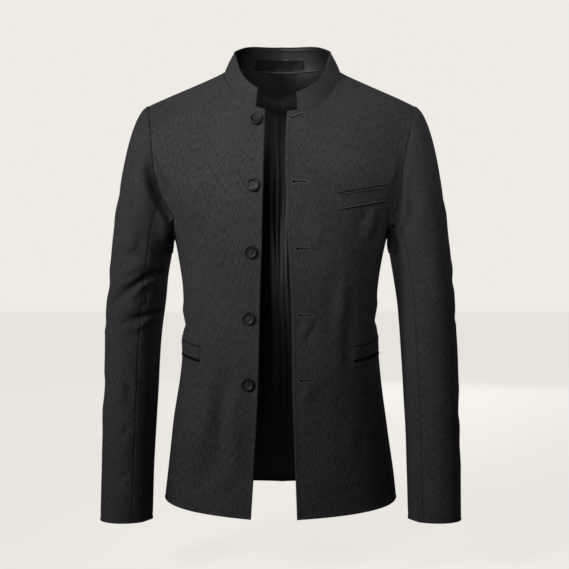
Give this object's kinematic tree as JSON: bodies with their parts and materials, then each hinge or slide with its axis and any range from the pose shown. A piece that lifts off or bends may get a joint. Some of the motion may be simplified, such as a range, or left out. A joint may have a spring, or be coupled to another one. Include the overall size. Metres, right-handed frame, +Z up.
{
  "type": "mao jacket",
  "caption": "Tailored jacket with a stand collar, worn open: lined cloth body, two-piece sleeves, welt pockets and a buttoned front edge.",
  "frame": {"origin": "middle of the shoulders, level with the neck points, where the wearer's shoulders hold the jacket", "axes": "+Z up, the fronts face -Y, +X towards the wearer's left"},
  "size_m": [0.5671, 0.262, 0.7749],
  "materials": {
    "cloth": "matte charcoal woven suiting",
    "lining": "satin",
    "label": "gloss satin",
    "button": "polished"
  },
  "bodies": {
    "root": {"front_right": "cloth", "front_left": "cloth", "side_right": "cloth", "side_left": "cloth", "back_right": "cloth", "back_left": "cloth", "top_sleeve_right": "cloth", "top_sleeve_left": "cloth", "under_sleeve_right": "cloth", "under_sleeve_left": "cloth", "collar": "cloth", "breast_welt": "cloth", "hip_welt_right": "cloth", "hip_welt_left": "cloth", "back_lining_right": "lining", "back_lining_left": "lining", "neck_label": "label", "size_tag": "label", "button_1": "button", "button_2": "button", "button_3": "button", "button_4": "button", "button_5": "button"}
  },
  "joints": []
}
